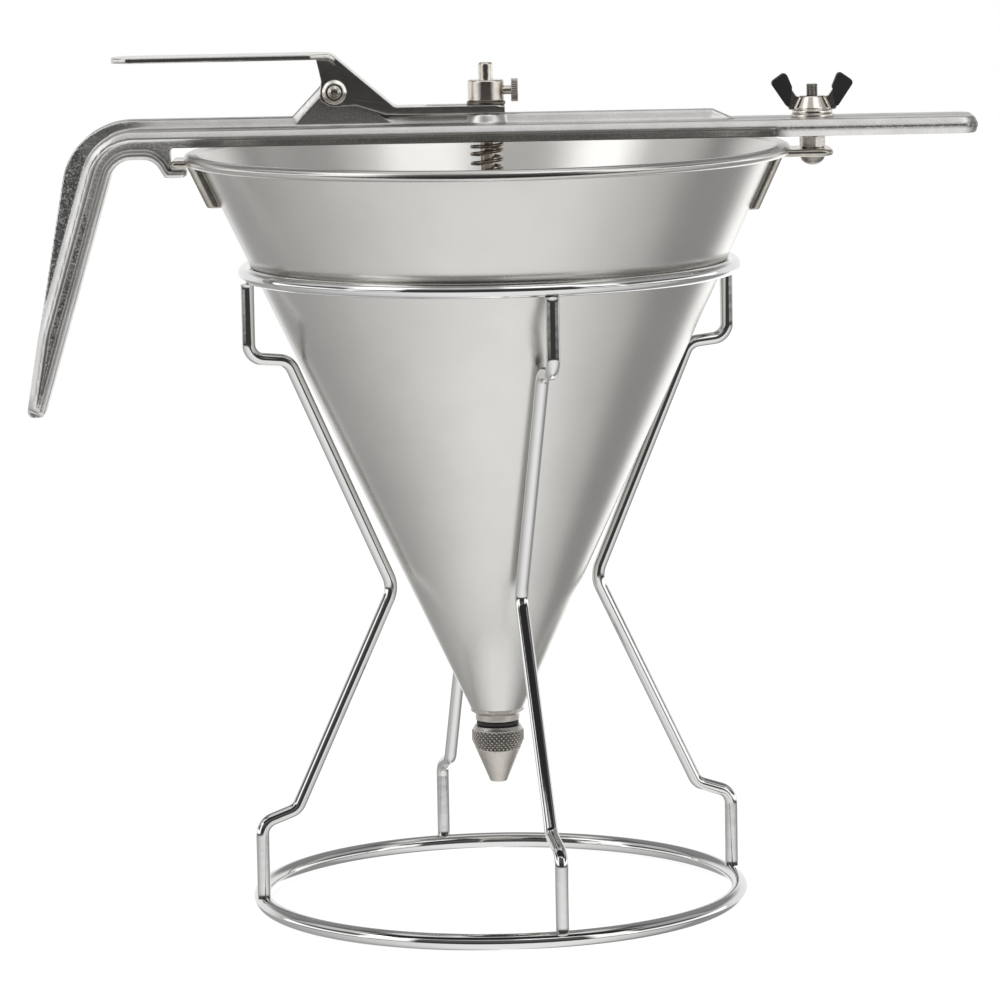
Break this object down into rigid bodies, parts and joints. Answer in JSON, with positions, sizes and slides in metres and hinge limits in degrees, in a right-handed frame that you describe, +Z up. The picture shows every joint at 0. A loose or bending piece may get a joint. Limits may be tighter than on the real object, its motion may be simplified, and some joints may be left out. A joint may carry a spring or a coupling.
{
  "type": "portioning funnel",
  "caption": "Conical steel funnel with a cast handle bar, a thumb lever that lifts a sprung outlet valve, and a screw-on nozzle, resting in a chromed wire stand.",
  "frame": {"origin": "centre of the base ring on the surface that the stand rests on", "axes": "+Z up, +X along the handle bar from the valve rod towards its clamped end, grip on the -X side"},
  "size_m": [0.3312, 0.21, 0.2986],
  "materials": {
    "chromed_wire": "mirror chrome plating",
    "satin_steel": "satin stainless sheet",
    "turned_steel": "turned stainless",
    "bright_steel": "bright plated steel",
    "cast_aluminium": "polished casting with as-cast speckled faces",
    "spring_steel": "drawn spring wire",
    "dark_steel": "dark steel",
    "black_plastic": "matte",
    "black_rubber": "matte"
  },
  "bodies": {
    "stand": {"stand_base_ring": "chromed_wire", "stand_seat_ring": "chromed_wire", "stand_leg_1": "chromed_wire", "stand_leg_2": "chromed_wire", "stand_leg_3": "chromed_wire", "stand_leg_4": "chromed_wire"},
    "funnel": {"funnel_cone": "satin_steel", "hook_bracket": "satin_steel", "bolt_bracket": "satin_steel", "outlet_spout": "turned_steel", "handle_casting": "cast_aluminium", "clamp_bolt": "bright_steel", "lock_nut": "bright_steel", "lock_washer": "bright_steel", "clamp_washer": "bright_steel", "return_spring": "spring_steel"},
    "lever": {"lever": "bright_steel", "pivot_pin": "bright_steel", "pivot_nut": "bright_steel"},
    "valve": {"valve_rod": "turned_steel", "valve_plunger": "turned_steel", "spring_washer": "turned_steel", "spring_pin": "turned_steel"},
    "collar": {"adjusting_collar": "turned_steel", "fork_washer": "dark_steel"},
    "thumb_screw": {"thumb_screw": "turned_steel"},
    "wing_nut": {"wing_nut": "bright_steel", "wing_caps": "black_plastic"},
    "nozzle": {"nozzle": "turned_steel", "nozzle_seal": "black_rubber"}
  },
  "joints": [
    {"name": "funnel_lift", "type": "slide", "parent": "stand", "child": "funnel", "axis": [0, 0, 1], "range_m": [0, 0.2]},
    {"name": "lever_press", "type": "hinge", "parent": "funnel", "child": "lever", "pos_m": [-0.0522, 0, 0.28536], "axis": [0, -1, 0], "range_deg": [0, 14]},
    {"name": "valve_lift", "type": "slide", "parent": "funnel", "child": "valve", "axis": [0, 0, 1], "range_m": [0, 0.0147], "stiffness_N_per_m": 250, "springref_m": -0.01, "deforming": ["return_spring"]},
    {"name": "collar_adjust", "type": "slide", "parent": "valve", "child": "collar", "axis": [0, 0, 1], "range_m": [0, 0.005]},
    {"name": "thumb_screw_turn", "type": "hinge", "parent": "collar", "child": "thumb_screw", "pos_m": [0, 0, 0.28471], "axis": [1, 0, 0], "continuous": true},
    {"name": "wing_nut_turn", "type": "hinge", "parent": "funnel", "child": "wing_nut", "pos_m": [0.1128, 0, 0.28], "axis": [0, 0, 1], "continuous": true},
    {"name": "nozzle_turn", "type": "hinge", "parent": "funnel", "child": "nozzle", "pos_m": [0, 0, 0.05], "axis": [0, 0, 1], "continuous": true}
  ],
  "couplings": [
    {"joint": "valve_lift", "follows": "lever_press", "m_per_rad": 0.0592}
  ]
}
